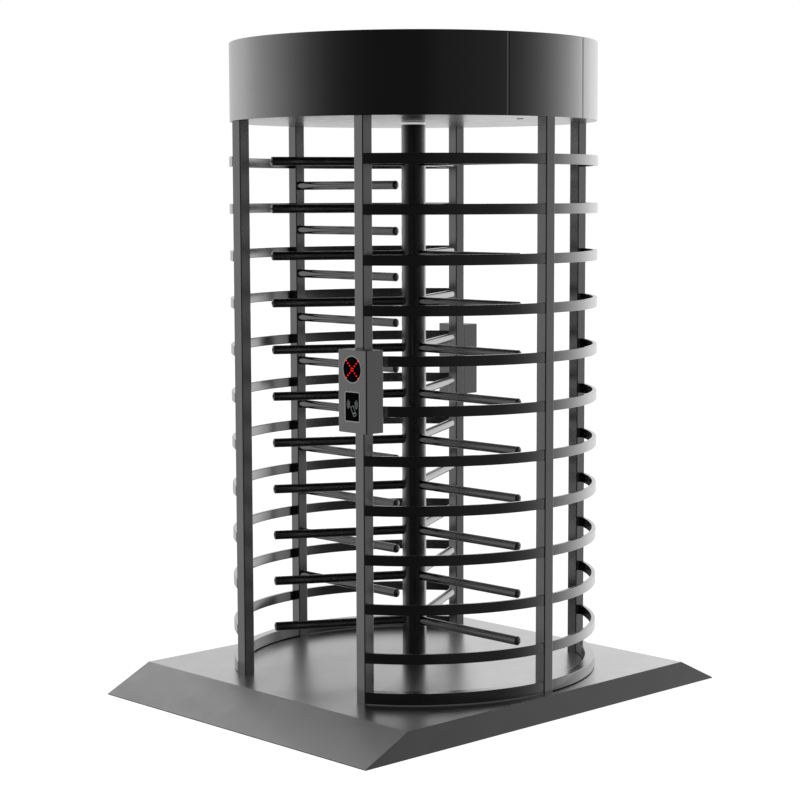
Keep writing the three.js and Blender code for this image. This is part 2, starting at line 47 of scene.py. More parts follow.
# Sizes of the frame, as the CAD source has them
BASE_HALF_X, DECK_HALF_Y, RAMP_RUN, BASE_TOP, BASE_SHEET, RAMP_LIP = 734, 744, 198, 98, 5, 4
POST_HALF, POST_WALL, POST_BOTTOM, POST_TOP = 23, 3, 98.3, 2197.7
RAIL_OUTER, RAIL_THICK, RAIL_HEIGHT = 703.5, 16, 38
KICK_THICK, KICK_HEIGHT, JOINT_HEIGHT = 40, 45, 3
TOP_LEVEL, RAIL_PITCH = 2048, 178
RAIL_LEVELS = [TOP_LEVEL - RAIL_PITCH * i for i in range(11)]
COMB_LEVELS = [TOP_LEVEL - RAIL_PITCH / 2 - RAIL_PITCH * i for i in range(10)]
KICK_LEVEL = POST_BOTTOM + KICK_HEIGHT / 2
START_ANGLE, END_ANGLE, GAP = -58.8, 61.4, 0.3
SIDE_POST_PROUD = 3
SIDE_POST_X = RAIL_OUTER + SIDE_POST_PROUD - POST_HALF
COLUMN_RADIUS, COLUMN_WALL, COLUMN_BOTTOM, COLUMN_TOP = 46.5, 4, 102.6, 2186.4
SHAFT_RADIUS, SHAFT_BORE, SHAFT_LENGTH, HEAD_THICK = 28, 12, 88, 8
ARM_RADIUS, ARM_REACH, CAP_HEIGHT, COMB_REACH = 17, 551, 5, 99.5
BORE_SIDES = 20
CANOPY_RADIUS, CANOPY_BOTTOM, CANOPY_TOP, CANOPY_SHEET = 700, 2198, 2492.5, 3
DOOR_START, DOOR_END, DOOR_SEAM, DOOR_TOP = -15.6, 17.5, 1.2, 2489.2
LOCK_X, LOCK_Y, LOCK_TOP, DECK_TOP = 489, 71.5, 2220, 2203
READER_HALF_X, READER_HALF_Y, READER_OFFSET, READER_WALL = 73, 41, 53, 2.5
READER_BOTTOM, READER_TOP = 1090.5, 1381.5
DISPLAY_RADIUS, DISPLAY_Z = 45, 1313.9
CARD_HALF_X, CARD_HALF_Z, CARD_Z, CARD_CORNER = 35.5, 50.25, 1182.8, 5

# An outline in X and Y, turned to lie in Y and Z and rise along +X
ALONG_X = Matrix(((0, 0, 1, 0), (1, 0, 0, 0), (0, 1, 0, 0), (0, 0, 0, 1)))
# An outline in X and Y, turned to lie in X and Z and rise along -Y
ALONG_MINUS_Y = Matrix(((1, 0, 0, 0), (0, 0, -1, 0), (0, 1, 0, 0), (0, 0, 0, 1)))


def end_post(angle):
    """Centre of an end post, whose outer corner lies on the rails' outer circle."""
    x, y = (RAIL_OUTER * f(math.radians(angle)) for f in (math.cos, math.sin))
    return x - POST_HALF, y - math.copysign(POST_HALF, y)


START_POST, END_POST = end_post(START_ANGLE), end_post(END_ANGLE)
READER_PLACE = (START_POST[0] + READER_OFFSET, START_POST[1] - POST_HALF - GAP - READER_HALF_Y)

# ---------------------------------------------------------------- camera
AZIMUTH, DISTANCE, CAMERA_Z = math.radians(45.842), 7.8216, 1.9173
YAW, PITCH, ROLL = math.radians(0.3966), math.radians(5.7462), math.radians(-0.16)
FOCAL_PIXELS, PHOTO_WIDTH, SENSOR_WIDTH = 2029.01, 800, 36


def make_camera():
    data = bpy.data.cameras.new("camera")
    data.sensor_width = SENSOR_WIDTH
    data.lens = FOCAL_PIXELS * SENSOR_WIDTH / PHOTO_WIDTH
    data.clip_start, data.clip_end = 0.05, 200
    camera = bpy.data.objects.new("camera", data)
    bpy.context.scene.collection.objects.link(camera)
    turn = AZIMUTH + YAW
    ahead = Vector(
        (-math.sin(turn) * math.cos(PITCH), math.cos(turn) * math.cos(PITCH), -math.sin(PITCH))
    )
    right = ahead.cross(Vector((0, 0, 1))).normalized()
    up = right.cross(ahead)
    right, up = (
        math.cos(ROLL) * right + math.sin(ROLL) * up,
        -math.sin(ROLL) * right + math.cos(ROLL) * up,
    )
    turned = Matrix((right, up, -ahead)).transposed()
    place = (DISTANCE * math.sin(AZIMUTH), -DISTANCE * math.cos(AZIMUTH), CAMERA_Z)
    camera.matrix_world = Matrix.Translation(place) @ turned.to_4x4()
    bpy.context.scene.camera = camera


make_camera()


# ---------------------------------------------------------------- mesh helpers
def rounded(points, radius, steps):
    """A closed outline with its corners rounded. radius is one number, or one for each point."""
    count = len(points)
    radii = [radius] * count if isinstance(radius, (int, float)) else radius
    out = []
    for i, point in enumerate(points):
        here = Vector(point)
        back = (Vector(points[i - 1]) - here).normalized()
        on = (Vector(points[(i + 1) % count]) - here).normalized()
        half = back.angle(on) / 2
        if radii[i] <= 0 or abs(half - math.pi / 2) < 1e-3:
            out.append(tuple(here))
            continue
        away = radii[i] / math.tan(half)
        middle = here + (back + on).normalized() * radii[i] / math.sin(half)
        first, last = here + back * away - middle, here + on * away - middle
        turn = math.atan2(first.x * last.y - first.y * last.x, first.dot(last))
        for k in range(steps + 1):
            c, s = math.cos(turn * k / steps), math.sin(turn * k / steps)
            out.append((middle.x + first.x * c - first.y * s, middle.y + first.x * s + first.y * c))
    return out


def box_outline(half_x, half_y, radius=0, steps=3):
    corners = [(-half_x, -half_y), (half_x, -half_y), (half_x, half_y), (-half_x, half_y)]
    return rounded(corners, radius, steps) if radius else corners


def add_ring(bm, points):
    return [bm.verts.new(p) for p in points]


def bridge(bm, one, two, material=0):
    count = len(one)
    for i in range(count):
        j = (i + 1) % count
        corners = [one[i], one[j], two[j], two[i]]
        distinct = list(dict.fromkeys(corners))
        if len(distinct) > 2:
            bm.faces.new(distinct).material_index = material


def cap(bm, ring, material=0):
    bm.faces.new(ring).material_index = material


def turned_ring(bm, radius, height, sides, place):
    """One ring about Z, or its tip, repeated, where the radius is nothing."""
    if radius < 1e-6:
        return [bm.verts.new(place @ Vector((0, 0, height)))] * sides
    turns = [2 * math.pi * i / sides for i in range(sides)]
    ring = [(radius * math.cos(t), radius * math.sin(t), height) for t in turns]
    return add_ring(bm, [place @ Vector(p) for p in ring])


def lathe_into(bm, profile, sides, closed=False, material=0, place=Matrix.Identity(4)):
    """Turns a profile of (radius, height) about Z."""
    rings = [turned_ring(bm, radius, height, sides, place) for radius, height in profile]
    last = len(rings) if closed else len(rings) - 1
    for i in range(last):
        bridge(bm, rings[i], rings[(i + 1) % len(rings)], material)


def prism_into(bm, outline, low, high, place=Matrix.Identity(4), material=0):
    """Raises an outline in X and Y from one height to another."""
    bottom = add_ring(bm, [place @ Vector((x, y, low)) for x, y in outline])
    top = add_ring(bm, [place @ Vector((x, y, high)) for x, y in outline])
    bridge(bm, bottom, top, material)
    cap(bm, bottom[::-1], material)
    cap(bm, top, material)


def arc_point(radius, angle):
    turn = math.radians(angle)
    return radius * math.cos(turn), radius * math.sin(turn)


def arc_points(radius, start, end, steps):
    return [arc_point(radius, start + (end - start) * i / steps) for i in range(steps + 1)]


def band_outline(inner, outer, start, end, steps):
    return arc_points(outer, start, end, steps) + arc_points(inner, start, end, steps)[::-1]


def block_into(bm, low, high, material=0):
    outline = [(low[0], low[1]), (high[0], low[1]), (high[0], high[1]), (low[0], high[1])]
    prism_into(bm, outline, low[2], high[2], material=material)


def mesh_of(name, bm):
    """The bmesh in metres, as a mesh with its faces turned outwards."""
    bmesh.ops.recalc_face_normals(bm, faces=bm.faces)
    bmesh.ops.scale(bm, vec=(MM, MM, MM), verts=bm.verts)
    mesh = bpy.data.meshes.new(name)
    bm.to_mesh(mesh)
    bm.free()
    return mesh


def object_of(name, mesh, materials=()):
    obj = bpy.data.objects.new(name, mesh)
    bpy.context.scene.collection.objects.link(obj)
    for material in materials:
        mesh.materials.append(material)
    return obj


def build(name, fill, materials):
    bm = bmesh.new()
    fill(bm)
    return object_of(name, mesh_of(name, bm), materials)


def cut_with(obj, fill):
    """Takes away from obj the solids that fill makes."""
    bm = bmesh.new()
    fill(bm)
    tool = object_of("tool", mesh_of("tool", bm))
    boolean = obj.modifiers.new("cut", "BOOLEAN")
    boolean.operation, boolean.solver, boolean.object = "DIFFERENCE", "EXACT", tool
    bake(obj)
    bpy.data.objects.remove(tool)


def bake(obj):
    """Applies obj's modifiers."""
    bpy.context.view_layer.update()
    graph = bpy.context.evaluated_depsgraph_get()
    mesh = bpy.data.meshes.new_from_object(
        obj.evaluated_get(graph), preserve_all_data_layers=True, depsgraph=graph
    )
    old = obj.data
    name = old.name
    obj.modifiers.clear()
    obj.data = mesh
    bpy.data.meshes.remove(old)
    mesh.name = name


def finish_mesh(obj, bevel=0, sharp=35):
    """Rounds the edges, then shades the mesh smooth with its flat faces kept flat."""
    if bevel:
        segments, bent_at_least = 2, 28
        edge = obj.modifiers.new("edge", "BEVEL")
        edge.width, edge.segments, edge.limit_method = bevel * MM, segments, "ANGLE"
        edge.angle_limit = math.radians(bent_at_least)
        bake(obj)
    mesh = obj.data
    mesh.polygons.foreach_set("use_smooth", [True] * len(mesh.polygons))
    mesh.set_sharp_from_angle(angle=math.radians(sharp))
    weigh = obj.modifiers.new("normals", "WEIGHTED_NORMAL")
    weigh.keep_sharp, weigh.weight = True, 60
    bake(obj)
    return obj


def settle(obj, body, slot, *stands_for):
    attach(obj, body)
    if stands_for:
        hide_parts(*stands_for)
    return obj


def copy_of(source, name, location, turn=0):
    """Another object with the same mesh."""
    obj = bpy.data.objects.new(name, source.data)
    bpy.context.scene.collection.objects.link(obj)
    obj.location = Vector(location) * MM
    obj.rotation_euler[2] = turn
    return obj


# ---------------------------------------------------------------- materials
def finish(
    name,
    color,
    metallic,
    roughness,
    peel,
    peel_scale=850,
    stretch=(1, 1, 1),
    mottle=0.07,
    mottle_scale=5,
    spread=0.035,
    specular=0.5,
):
    """A coat, metal or plastic whose colour, roughness and relief vary as the real one's do."""
    material = bpy.data.materials.new(name)
    material.use_nodes = True
    tree = material.node_tree
    shader = tree.nodes["Principled BSDF"]
    shader.inputs["Metallic"].default_value = metallic
    shader.inputs["Specular IOR Level"].default_value = specular
    coords = tree.nodes.new("ShaderNodeTexCoord")
    mapping = tree.nodes.new("ShaderNodeMapping")
    mapping.inputs["Scale"].default_value = stretch
    tree.links.new(coords.outputs["Object"], mapping.inputs["Vector"])

    def noise(scale, detail, vector):
        node = tree.nodes.new("ShaderNodeTexNoise")
        node.inputs["Scale"].default_value = scale
        node.inputs["Detail"].default_value = detail
        tree.links.new(vector, node.inputs["Vector"])
        return node.outputs["Fac"]

    cloud = noise(mottle_scale, 5, coords.outputs["Object"])
    tint = tree.nodes.new("ShaderNodeValToRGB")
    tint.color_ramp.elements[0].position = 0.3
    tint.color_ramp.elements[1].position = 0.7
    tint.color_ramp.elements[0].color = (*[c * (1 - mottle) for c in color], 1)
    tint.color_ramp.elements[1].color = (*[min(1, c * (1 + mottle)) for c in color], 1)
    tree.links.new(cloud, tint.inputs["Fac"])
    tree.links.new(tint.outputs["Color"], shader.inputs["Base Color"])

    smear = noise(mottle_scale * 3.3, 3, coords.outputs["Object"])
    span = tree.nodes.new("ShaderNodeMapRange")
    span.inputs["From Min"].default_value = 0.25
    span.inputs["From Max"].default_value = 0.75
    span.inputs["To Min"].default_value = roughness - spread
    span.inputs["To Max"].default_value = roughness + spread
    tree.links.new(smear, span.inputs["Value"])
    tree.links.new(span.outputs["Result"], shader.inputs["Roughness"])

    grain = noise(peel_scale, 2, mapping.outputs["Vector"])
    bump = tree.nodes.new("ShaderNodeBump")
    bump.inputs["Strength"].default_value = peel
    bump.inputs["Distance"].default_value = 0.0004
    tree.links.new(grain, bump.inputs["Height"])
    tree.links.new(bump.outputs["Normal"], shader.inputs["Normal"])
    return material


def glowing(name, color, strength, edge):
    """A material that gives off light: real on a lamp, painted light on anything else. Its glow
    varies at random from edge times the colour up to the full colour.
    """
    material = finish(name, color, 0.0, 0.35, peel=0.05, mottle=0.04, mottle_scale=60)
    tree = material.node_tree
    shader = tree.nodes["Principled BSDF"]
    coords = tree.nodes.new("ShaderNodeTexCoord")
    grain = tree.nodes.new("ShaderNodeTexNoise")
    grain.inputs["Scale"].default_value = 400
    tree.links.new(coords.outputs["Object"], grain.inputs["Vector"])
    tint = tree.nodes.new("ShaderNodeValToRGB")
    tint.color_ramp.elements[0].color = (*[c * edge for c in color], 1)
    tint.color_ramp.elements[1].color = (*color, 1)
    tree.links.new(grain.outputs["Fac"], tint.inputs["Fac"])
    tree.links.new(tint.outputs["Color"], shader.inputs["Emission Color"])
    shader.inputs["Emission Strength"].default_value = strength
    return material


SATIN = {"peel": 0.03, "mottle": 0.04, "spread": 0.02}
SMOOTH = {"peel": 0.02, "mottle": 0.04, "spread": 0.02}
FINE = {"peel": 0.02, "mottle": 0.03, "mottle_scale": 40}
frame_coat = finish("frame_coat_look", (0.255, 0.255, 0.257), 1, 0.17, **SATIN)
# The rails' tops: a lighter copy of the frame coat, a painted highlight
top_painted_highlight = finish("top_painted_highlight_look", (0.56, 0.56, 0.565), 1, 0.2, **SATIN)
rotor_coat = finish("rotor_coat_look", (0.172, 0.172, 0.174), 1, 0.16, **SMOOTH)
# The arms: a lighter copy of the rotor coat that the column also wears, painted light
arm_painted_light_coat = finish("arm_painted_light_coat_look", (0.212, 0.212, 0.214), 1, 0.17, **SMOOTH)
canopy_coat = finish(
    "canopy_coat_look",
    (0.27, 0.27, 0.273),
    1,
    0.16,
    peel=0.02,
    mottle=0.02,
    mottle_scale=9,
    spread=0.015,
)
deck_coat = finish("deck_coat_look", (0.43, 0.432, 0.435), 1, 0.24, peel=0.03, mottle=0.03)
# The platform is one coat in three tones by which way a face points: the lighter deck and ramps are
# painted light, the darker sides painted shade
platform_top_painted_light = finish(
    "platform_top_painted_light_look", (0.72, 0.72, 0.725), 1, 0.3, peel=0.015, mottle=0.03, spread=0.02
)
platform_ramp_painted_light = finish(
    "platform_ramp_painted_light_look", (0.85, 0.85, 0.856), 1, 0.55, peel=0.1, peel_scale=600, mottle=0.04
)
platform_side_painted_shade = finish("platform_side_painted_shade_look", (0.195, 0.195, 0.197), 1, 0.3, peel=0.04, mottle=0.04)
case_coat = finish(
    "case_coat_look", (0.26, 0.26, 0.262), 1, 0.28, peel=0.05, peel_scale=1100, mottle=0.04
)
bright_steel = finish(
    "bright_steel_look", (0.62, 0.62, 0.63), 1, 0.24, peel=0.25, peel_scale=60, stretch=(1, 1, 40)
)
satin_steel = finish("satin_steel_look", (0.93, 0.93, 0.93), 1, 0.6, **FINE)
zinc_steel = finish(
    "zinc_steel_look", (0.5, 0.52, 0.54), 1, 0.38, peel=0.2, mottle=0.16, mottle_scale=70
)
plug_coat = finish("plug_coat_look", (0.12, 0.12, 0.121), 1, 0.1, **FINE)
black_glass = finish(
    "black_glass_look", (0.002, 0.002, 0.0022), 0, 0.12, peel=0.01, spread=0.02, specular=0.02
)
rim_paint = finish("rim_paint_look", (0.5, 0.51, 0.51), 1, 0.28, peel=0.03)
red_lamp = glowing("red_lamp_look", (1.0, 0.0, 0.0), 2.2, 0.75)
# The icon is print; its glow is painted light
icon_print_painted_glow = glowing("icon_print_painted_glow_look", (0.36, 0.37, 0.38), 0.3, 0.8)
# The kick rail's joint strip: its glowing half is painted light, for light through the gap under
# the rail; its black half is painted shade in that gap
joint_painted_light = glowing("joint_painted_light_look", (0.06, 0.06, 0.06), 0.9, 0.85)
joint_painted_shade = finish("joint_painted_shade_look", (0.012, 0.012, 0.012), 0, 0.6, peel=0.1, specular=0.1)
lock_steel = finish(
    "lock_steel_look", (0.2, 0.2, 0.203), 1, 0.22, peel=0.05, mottle=0.05, mottle_scale=60
)
# The bearing's ring is white plastic; its glow is painted light
ring_plastic_painted_glow = glowing("ring_plastic_painted_glow_look", (0.85, 0.85, 0.845), 0.56, 0.92)


# ---------------------------------------------------------------- base platform
def base_outer(bm):
    half_length = DECK_HALF_Y + RAMP_RUN
    outline = [
        (-half_length, 0),
        (half_length, 0),
        (half_length, RAMP_LIP),
        (DECK_HALF_Y, BASE_TOP),
        (-DECK_HALF_Y, BASE_TOP),
        (-half_length, RAMP_LIP),
    ]
    prism_into(bm, outline, -BASE_HALF_X, BASE_HALF_X, ALONG_X)


def base_hollow(bm):
    bend = math.atan2(BASE_TOP - RAMP_LIP, RAMP_RUN)
    shoulder = DECK_HALF_Y - BASE_SHEET * math.tan(bend / 2)
    ceiling = BASE_TOP - BASE_SHEET
    reach = shoulder + ceiling / math.tan(bend)
    outline = [
        (-reach, -BASE_SHEET),
        (reach, -BASE_SHEET),
        (reach, 0),
        (shoulder, ceiling),
        (-shoulder, ceiling),
        (-reach, 0),
    ]
    web = 3
    edges = [-(BASE_HALF_X - BASE_SHEET)]
    for middle in (-BASE_HALF_X / 2, 0, BASE_HALF_X / 2):
        edges += [middle - web, middle + web]
    edges.append(BASE_HALF_X - BASE_SHEET)
    for low, high in zip(edges[::2], edges[1::2]):
        prism_into(bm, outline, low, high, ALONG_X)


base = build("platform", base_outer, [platform_top_painted_light, platform_ramp_painted_light, platform_side_painted_shade])
cut_with(base, base_hollow)
finish_mesh(base, 0.6)
for face in base.data.polygons:
    # 0 the deck, 1 the ramps, 2 the sides and all below. The lighter deck and ramps and the darker
    # sides are painted light and shade on one coat
    if 0.5 < face.normal.z < 0.98:
        face.material_index = 1
    elif face.normal.z < 0.5:
        face.material_index = 2
settle(base, "frame", "frame_coat", "base_platform")


# ---------------------------------------------------------------- rails
END_ZONE = 100  # a rail is trimmed at an end post only where it is further out than this


def rail_sections():
    middle = RAIL_OUTER - RAIL_THICK / 2
    outline = box_outline(RAIL_THICK / 2, RAIL_HEIGHT / 2, 3, 4)
    return [([(middle + x, z) for x, z in outline], 0, 0)]


def kick_sections():
    """The kick rail on its joint strip, which is set back. The strip glows on one half, painted
    light for light through the gap under the rail, and is black on the other half, painted shade in
    that gap.
    """
    middle, overlap, inset = RAIL_OUTER - KICK_THICK / 2, 1, 2
    body = box_outline(KICK_THICK / 2, (KICK_HEIGHT - JOINT_HEIGHT) / 2, 3, 4)
    joint = box_outline(KICK_THICK / 2 - inset, (JOINT_HEIGHT + overlap) / 2)
    foot = (JOINT_HEIGHT + overlap - KICK_HEIGHT) / 2
    return [
        ([(middle + x, z + JOINT_HEIGHT / 2) for x, z in body], 0, 0),
        ([(middle + x, z + foot) for x, z in joint], 1, 2),
    ]


def rail_into(bm, sections):
    """A curved rail, cut off square at the faces of its two end posts.

    A section is its outline in radius and height, and the materials of its two halves along
    the arc.
    """
    steps, spare = 84, 1.2
    start, end = START_ANGLE - spare, END_ANGLE + spare
    for section, first_half, last_half in sections:
        rings = []
        for i in range(steps + 1):
            a = math.radians(start + (end - start) * i / steps)
            rings.append(add_ring(bm, [(r * math.cos(a), r * math.sin(a), z) for r, z in section]))
        for i in range(steps):
            bridge(bm, rings[i], rings[i + 1], first_half if i < steps / 2 else last_half)
        cap(bm, rings[0], first_half)
        cap(bm, rings[-1], last_half)
    for (x, y), side in ((START_POST, -1), (END_POST, 1)):
        planes = [
            ((0, y + side * POST_HALF, 0), (0, side, 0)),
            ((x + POST_HALF + GAP, 0, 0), (-1, 0, 0)),
        ]
        for point, outwards in planes:
            near = [v for v in bm.verts if v.co.y * side > END_ZONE]
            held = set(near)
            faces = [f for f in bm.faces if held.issuperset(f.verts)]
            edges = [e for e in bm.edges if held.issuperset(e.verts)]
            cut = bmesh.ops.bisect_plane(
                bm,
                geom=near + edges + faces,
                dist=1e-4,
                plane_co=point,
                plane_no=outwards,
                clear_outer=True,
            )
            cut_edges = [e for e in cut["geom_cut"] if isinstance(e, bmesh.types.BMEdge)]
            rim = [e for e in cut_edges if e.is_boundary]
            bmesh.ops.holes_fill(bm, edges=rim, sides=0)


def rails(sections, names, levels, looks):
    """The curved rails of both cages, which share one mesh. The last look is their tops', a lighter
    copy of the coat that is a painted highlight.
    """
    first = None
    for side, turn in (("right", 0), ("left", math.pi)):
        for i, level in enumerate(levels):
            node = names(side, i)
            if first is None:
                obj = first = build("cage_" + node, lambda bm: rail_into(bm, sections), looks)
                finish_mesh(obj)
                # Faces that look up get the last look, a lighter copy of the coat that is a painted
                # highlight
                for face in obj.data.polygons:
                    if face.normal.z > 0.9:
                        face.material_index = len(looks) - 1
                obj.location.z = level * MM
            else:
                obj = copy_of(first, "cage_" + node, (0, 0, level), turn)
            settle(obj, "frame", "frame_coat", node)


rails(
    rail_sections(),
    lambda side, i: f"rail_{side}_{i + 1:02d}",
    RAIL_LEVELS,
    [frame_coat, top_painted_highlight],
)
# The joint strip glows on one half as painted light and is black on the other as painted shade; the
# tops are a painted highlight
rails(
    kick_sections(),
    lambda side, i: f"kick_rail_{side}",
    [KICK_LEVEL],
    [frame_coat, joint_painted_light, joint_painted_shade, top_painted_highlight],
)


def rail_slots_into(bm):
    """The slots of the right side post, which the rails pass through."""
    half, spread, steps = RAIL_HEIGHT / 2, 8, 10
    slots = [(RAIL_THICK, level - half - GAP, level + half + GAP) for level in RAIL_LEVELS]
    slots.append((KICK_THICK, BASE_TOP - 1, KICK_LEVEL + KICK_HEIGHT / 2 + GAP))
    for thick, low, high in slots:
        inner, outer = RAIL_OUTER - thick - GAP, RAIL_OUTER + GAP
        prism_into(bm, band_outline(inner, outer, -spread, spread, steps), low, high)


# ---------------------------------------------------------------- posts
def post_into(bm, x=0):
    outer_corner, inner_corner = 3.6, 1
    rings = []
    for half, radius in ((POST_HALF, outer_corner), (POST_HALF - POST_WALL, inner_corner)):
        outline = box_outline(half, half, radius, 4)
        for z in (POST_BOTTOM, POST_TOP):
            rings.append(add_ring(bm, [(x + px, py, z) for px, py in outline]))
    outer_low, outer_high, inner_low, inner_high = rings
    bridge(bm, outer_low, outer_high)
    bridge(bm, inner_low, inner_high)
    bridge(bm, outer_low, inner_low)
    bridge(bm, outer_high, inner_high)


post = build("upright_entry_right", post_into, [frame_coat])
finish_mesh(post)
post.location = Vector((*START_POST, 0)) * MM
settle(post, "frame", "frame_coat", "post_entry_right")
for name, (x, y), sign in (
    ("exit_right", END_POST, 1),
    ("exit_left", START_POST, -1),
    ("entry_left", END_POST, -1),
):
    obj = copy_of(post, "upright_" + name, (sign * x, sign * y, 0), 0 if sign > 0 else math.pi)
    settle(obj, "frame", "frame_coat", "post_" + name)

side_post = build("upright_side_right", lambda bm: post_into(bm, SIDE_POST_X), [frame_coat])
cut_with(side_post, rail_slots_into)
finish_mesh(side_post)
settle(side_post, "frame", "frame_coat", "post_side_right")


# ---------------------------------------------------------------- bars with domed plugs
WINGS, BAR_SIDES = 3, 40
# The weld at a bar's foot, as steps (out from the bar, up from what carries it)
WELD = [(0, -2), (2.4, -0.4), (2.2, 0.3), (1.3, 1.0), (0.4, 1.9), (0, 2.8)]


def dome_profile(end):
    """The end of a tube with a plug, as (radius, distance, material): 0 the coat, 1 the plug."""
    edge = [
        (ARM_RADIUS, end - 0.6, 0),
        (ARM_RADIUS - 0.2, end - 0.15, 0),
        (ARM_RADIUS - 0.6, end, 1),
    ]
    chord = ARM_RADIUS - 0.9
    ball = (chord**2 + CAP_HEIGHT**2) / (2 * CAP_HEIGHT)
    steps = 8
    dome = []
    for i in range(steps):
        radius = chord * (1 - i / steps)
        dome.append((radius, end + CAP_HEIGHT - ball + math.sqrt(ball**2 - radius**2), 1))
    return edge + dome + [(0, end + CAP_HEIGHT, 1)]


def bar_into(bm, end, root, place):
    """A tube along +X. root gives how far out its foot meets what carries it, at a step across."""
    along = place @ ALONG_X
    turns = [2 * math.pi * i / BAR_SIDES for i in range(BAR_SIDES)]
    rings = []
    for out, lift in WELD:
        radius = ARM_RADIUS + out
        feet = [(radius * math.cos(t), radius * math.sin(t)) for t in turns]
        rings.append(add_ring(bm, [along @ Vector((y, z, root(y) + lift)) for y, z in feet]))
    cap(bm, rings[0][::-1])
    kinds = [0] * len(WELD)
    for radius, height, material in dome_profile(end):
        rings.append(turned_ring(bm, radius, height, BAR_SIDES, along))
        kinds.append(material)
    for i in range(len(rings) - 1):
        bridge(bm, rings[i], rings[i + 1], kinds[i])


def star_into(bm):
    for i in range(WINGS):
        place = Matrix.Rotation(2 * math.pi * i / WINGS, 4, "Z")
        bar_into(bm, ARM_REACH, lambda y: math.sqrt(COLUMN_RADIUS**2 - y * y), place)


star = None
for i, level in enumerate(RAIL_LEVELS):
    name = f"wing_arms_{i + 1:02d}"
    if star is None:
        star = obj = build(name, star_into, [arm_painted_light_coat, plug_coat])
        finish_mesh(star, sharp=30)
        obj.location.z = level * MM
    else:
        obj = copy_of(star, name, (0, 0, level))
    settle(obj, "rotor", "rotor_coat", f"arm_star_{i + 1:02d}")


def comb_bars_into(bm):
    face = SIDE_POST_X - POST_HALF
    for level in COMB_LEVELS:
        bar_into(bm, face - COMB_REACH, lambda y: 0, Matrix.Translation((-face, 0, level)))


def left_slots_into(bm):
    rail_slots_into(bm)
    bmesh.ops.rotate(bm, verts=bm.verts, cent=(0, 0, 0), matrix=Matrix.Rotation(math.pi, 3, "Z"))


def add_comb_bars(obj):
    """Adds the bars to the side post's mesh, which is in metres."""
    bm = bmesh.new()
    bm.from_mesh(obj.data)
    bmesh.ops.scale(bm, vec=(1 / MM,) * 3, verts=bm.verts)
    comb_bars_into(bm)
    bmesh.ops.recalc_face_normals(bm, faces=bm.faces)
    bmesh.ops.scale(bm, vec=(MM,) * 3, verts=bm.verts)
    bm.to_mesh(obj.data)
    bm.free()


comb_post = build("comb", lambda bm: post_into(bm, -SIDE_POST_X), [frame_coat, plug_coat])
cut_with(comb_post, left_slots_into)
add_comb_bars(comb_post)
finish_mesh(comb_post, sharp=30)
settle(comb_post, "frame", "frame_coat", "comb_post")


# ---------------------------------------------------------------- rotor column and bearings
ROUND_SIDES = 96
BEARING_PLAY = 0.5
RING_INNER, RING_BOTTOM, RING_TOP = 44.6, 2188, 2194.2
FLANGE_RADIUS, FLANGE_THICK = 80, 8
FOOT_RADIUS, FOOT_THICK, SPIGOT_WALL, SPIGOT_HEIGHT = 54, 4, 7, 50


def column_into(bm):
    bore, shaft_top = COLUMN_RADIUS - COLUMN_WALL, COLUMN_TOP + SHAFT_LENGTH
    outline = [
        (bore, COLUMN_BOTTOM),
        (COLUMN_RADIUS, COLUMN_BOTTOM),
        (COLUMN_RADIUS, COLUMN_TOP),
        (SHAFT_RADIUS, COLUMN_TOP),
        (SHAFT_RADIUS, shaft_top),
        (SHAFT_BORE, shaft_top),
        (SHAFT_BORE, COLUMN_TOP - HEAD_THICK),
        (bore, COLUMN_TOP - HEAD_THICK),
    ]
    radii = [0.6, 0.8, 1.2, 1, 1, 0.6, 0.6, 1]
    lathe_into(bm, rounded(outline, radii, 2), ROUND_SIDES, closed=True)


column = finish_mesh(build("column", column_into, [rotor_coat]))
settle(column, "rotor", "rotor_coat", "rotor_column")


def top_bearing_into(bm):
    """The bearing hangs from the canopy floor. A white plastic ring sits round its neck, and its
    glow is painted light.
    """
    bore = (SHAFT_RADIUS + BEARING_PLAY) / math.cos(math.pi / BORE_SIDES)
    throat, seat, bottom = COLUMN_RADIUS - 2 * GAP, 45, COLUMN_TOP + GAP
    lip_inner, lip_outer, lip_fall = 0.2, 0.6, 0.3
    flange_low = DECK_TOP + GAP
    flange_high = flange_low + FLANGE_THICK
    outline = [
        (bore, bottom),
        (seat, bottom),
        (seat, RING_TOP + lip_inner),
        (COLUMN_RADIUS - lip_fall, RING_TOP + lip_outer),
        (COLUMN_RADIUS, CANOPY_BOTTOM - GAP),
        (throat, CANOPY_BOTTOM - GAP),
        (throat, flange_low),
        (FLANGE_RADIUS, flange_low),
        (FLANGE_RADIUS, flange_high),
        (bore, flange_high),
    ]
    radii = [0.4, 0.4, 0.2, 0.3, 0.3, 0.3, 0.3, 0.6, 1.4, 0.8]
    lathe_into(bm, rounded(outline, radii, 2), ROUND_SIDES, closed=True)
    ring = [
        (RING_INNER, RING_BOTTOM),
        (COLUMN_RADIUS, RING_BOTTOM),
        (COLUMN_RADIUS, RING_TOP),
        (RING_INNER, RING_TOP),
    ]
    lathe_into(bm, rounded(ring, [0.1, 0.5, 0.5, 0.1], 2), ROUND_SIDES, closed=True, material=1)


top_bearing = finish_mesh(build("head_bearing", top_bearing_into, [satin_steel, ring_plastic_painted_glow]))
settle(top_bearing, "frame", "bright_steel", "top_bearing")


def foot_bearing_into(bm):
    spigot = (COLUMN_RADIUS - COLUMN_WALL - BEARING_PLAY) * math.cos(math.pi / BORE_SIDES)
    low, shelf, high = POST_BOTTOM, POST_BOTTOM + FOOT_THICK, POST_BOTTOM + SPIGOT_HEIGHT
    outline = [
        (spigot - SPIGOT_WALL, low),
        (FOOT_RADIUS, low),
        (FOOT_RADIUS, shelf),
        (spigot, shelf),
        (spigot, high),
        (spigot - SPIGOT_WALL, high),
    ]
    radii = [0.4, 0.4, 1.2, 0.6, 0.8, 0.8]
    lathe_into(bm, rounded(outline, radii, 2), ROUND_SIDES, closed=True)


